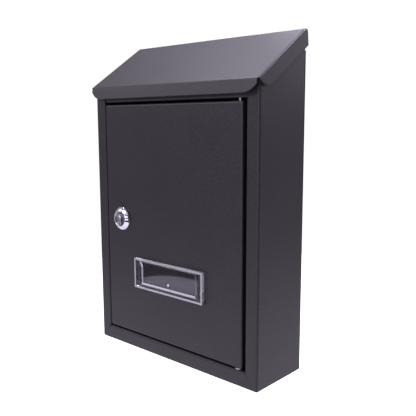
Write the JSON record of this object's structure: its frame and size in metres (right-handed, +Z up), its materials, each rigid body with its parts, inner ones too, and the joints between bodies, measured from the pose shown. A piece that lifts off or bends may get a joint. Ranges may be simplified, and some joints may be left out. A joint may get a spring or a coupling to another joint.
{
  "type": "wall mounted mailbox",
  "caption": "Sheet steel wall mailbox with a sloped lid over the mail mouth, a hinged front door with a keyed cam lock, and a clear name card holder.",
  "frame": {"origin": "middle of the back panel's wall face", "axes": "+Y into the wall, so the door faces -Y; +Z up; +X to the right as seen by someone facing the door"},
  "size_m": [0.2222, 0.0741, 0.3169],
  "materials": {
    "paint": "fine textured powder coat, charcoal",
    "chrome": "bright chrome plate",
    "zinc": "zinc plated",
    "steel": "plain spring steel",
    "clear_plastic": "clear moulded plastic"
  },
  "bodies": {
    "cabinet": {"body_wrap": "paint", "back_panel": "paint", "top_rail": "paint", "upper_hinge_pin": "zinc", "upper_pin_clip": "steel", "lower_hinge_pin": "zinc", "lower_hinge_washer": "steel", "lower_pin_clip": "steel"},
    "door": {"door_panel": "paint", "name_window": "clear_plastic", "window_retainer_left": "steel", "window_retainer_right": "steel", "lock_housing": "chrome", "lock_washer": "steel", "lock_nut": "zinc"},
    "lock": {"lock_plug": "chrome", "lock_cam": "zinc", "cam_washer": "steel", "cam_screw": "zinc"},
    "mail_lid": {"lid": "paint", "lid_rod": "zinc", "lid_strap_left": "zinc", "lid_strap_right": "zinc", "rod_clip_left": "steel", "rod_clip_right": "steel"}
  },
  "joints": [
    {"name": "door_hinge", "type": "hinge", "parent": "cabinet", "child": "door", "pos_m": [0.084, -0.0635, 0], "axis": [0, 0, 1], "range_deg": [0, 115]},
    {"name": "lock_turn", "type": "hinge", "parent": "door", "child": "lock", "pos_m": [-0.0693, -0.068, -0.01275], "axis": [0, 1, 0], "range_deg": [0, 90]},
    {"name": "lid_hinge", "type": "hinge", "parent": "cabinet", "child": "mail_lid", "pos_m": [0, -0.0063, 0.16145], "axis": [-1, 0, 0], "range_deg": [0, 60]}
  ]
}
